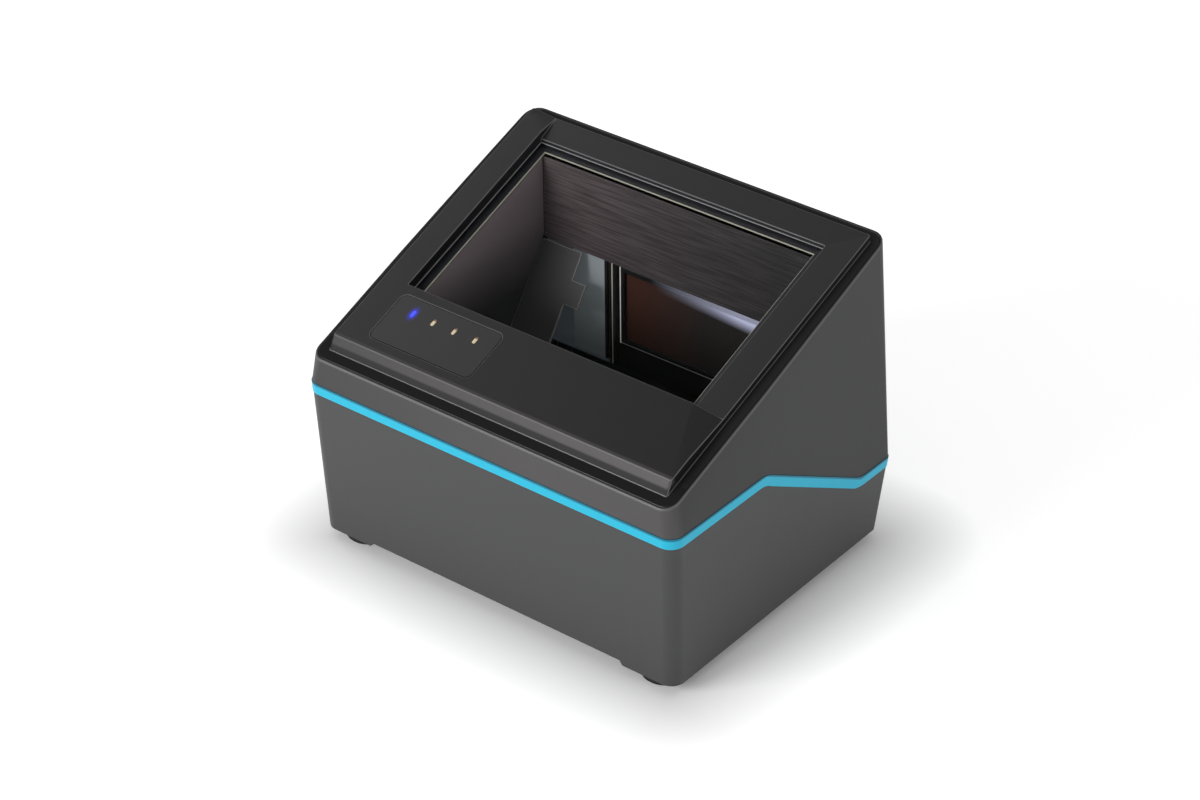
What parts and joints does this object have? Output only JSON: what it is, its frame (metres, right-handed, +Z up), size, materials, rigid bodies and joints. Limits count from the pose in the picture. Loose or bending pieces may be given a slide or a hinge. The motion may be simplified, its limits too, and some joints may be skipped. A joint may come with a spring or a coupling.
{
  "type": "passport scanner",
  "caption": "Desktop document reader: two-part tapered case with a coloured joint strip, sloped raised bezel, recessed glass window over an optics chamber, status panel and rubber feet",
  "frame": {"origin": "on the table, under the middle of the case's outline", "axes": "+Z up, -Y towards the user at the low front of the sloped top, +X to the user's right"},
  "size_m": [0.1866, 0.1446, 0.145],
  "materials": {
    "housing_plastic": "fine grain, dark grey",
    "bezel_plastic": "fine grain, black-grey",
    "strip_plastic": "smooth, light blue",
    "window_glass": "clear, polished",
    "gasket_rubber": "matt black",
    "antenna_board": "black solder mask",
    "panel_film": "dark satin film",
    "light_blue": "lit lens",
    "light_cream": "unlit lens",
    "circuit_board": "green solder mask",
    "chamber_plastic": "smooth, black-grey",
    "brushed_sheet": "brushed, brown-black anodised",
    "diffuser": "frosted",
    "board_edge": "cut board edge",
    "frame_plastic": "grey",
    "mirror": "dark mirror",
    "lens_metal": "black anodised",
    "lens_glass": "coated",
    "connector_plastic": "cream",
    "ribbon": "flat cable",
    "chip_black": "black",
    "socket_metal": "plated steel",
    "foot_rubber": "matt black",
    "screw_steel": "zinc plated"
  },
  "bodies": {
    "root": {"lower_housing": "housing_plastic", "upper_housing": "housing_plastic", "accent_strip": "strip_plastic", "top_bezel": "bezel_plastic", "window_glass": "window_glass", "window_gasket": "gasket_rubber", "antenna_board": "antenna_board", "status_panel": "panel_film", "status_light_1": "light_blue", "status_light_2": "light_cream", "status_light_3": "light_cream", "status_light_4": "light_cream", "status_board": "circuit_board", "optics_chute": "chamber_plastic", "back_sheet": "brushed_sheet", "light_shield_left": "chamber_plastic", "light_shield_right": "chamber_plastic", "diffuser_panel": "diffuser", "edge_board": "board_edge", "rear_bulkhead": "chamber_plastic", "pane_frame": "frame_plastic", "mirror_pane": "mirror", "camera_board": "circuit_board", "lens_holder": "chamber_plastic", "lens_barrel": "lens_metal", "lens_glass": "lens_glass", "camera_connector": "connector_plastic", "main_connector": "connector_plastic", "ribbon_cable": "ribbon", "main_board": "circuit_board", "main_chip": "chip_black", "beeper": "chip_black", "usb_socket": "socket_metal", "power_socket": "chip_black", "foot_front_left": "foot_rubber", "foot_front_right": "foot_rubber", "foot_rear_left": "foot_rubber", "foot_rear_right": "foot_rubber", "housing_screw_front_left": "screw_steel", "housing_screw_front_right": "screw_steel", "housing_screw_rear_left": "screw_steel", "housing_screw_rear_right": "screw_steel", "board_screw_front_left": "screw_steel", "board_screw_front_right": "screw_steel", "board_screw_rear_left": "screw_steel", "board_screw_rear_right": "screw_steel", "chute_screw_front_left": "screw_steel", "chute_screw_front_right": "screw_steel", "chute_screw_rear_left": "screw_steel", "chute_screw_rear_right": "screw_steel", "bulkhead_screw_left": "screw_steel", "bulkhead_screw_right": "screw_steel", "camera_screw_left": "screw_steel", "camera_screw_right": "screw_steel"}
  },
  "joints": []
}
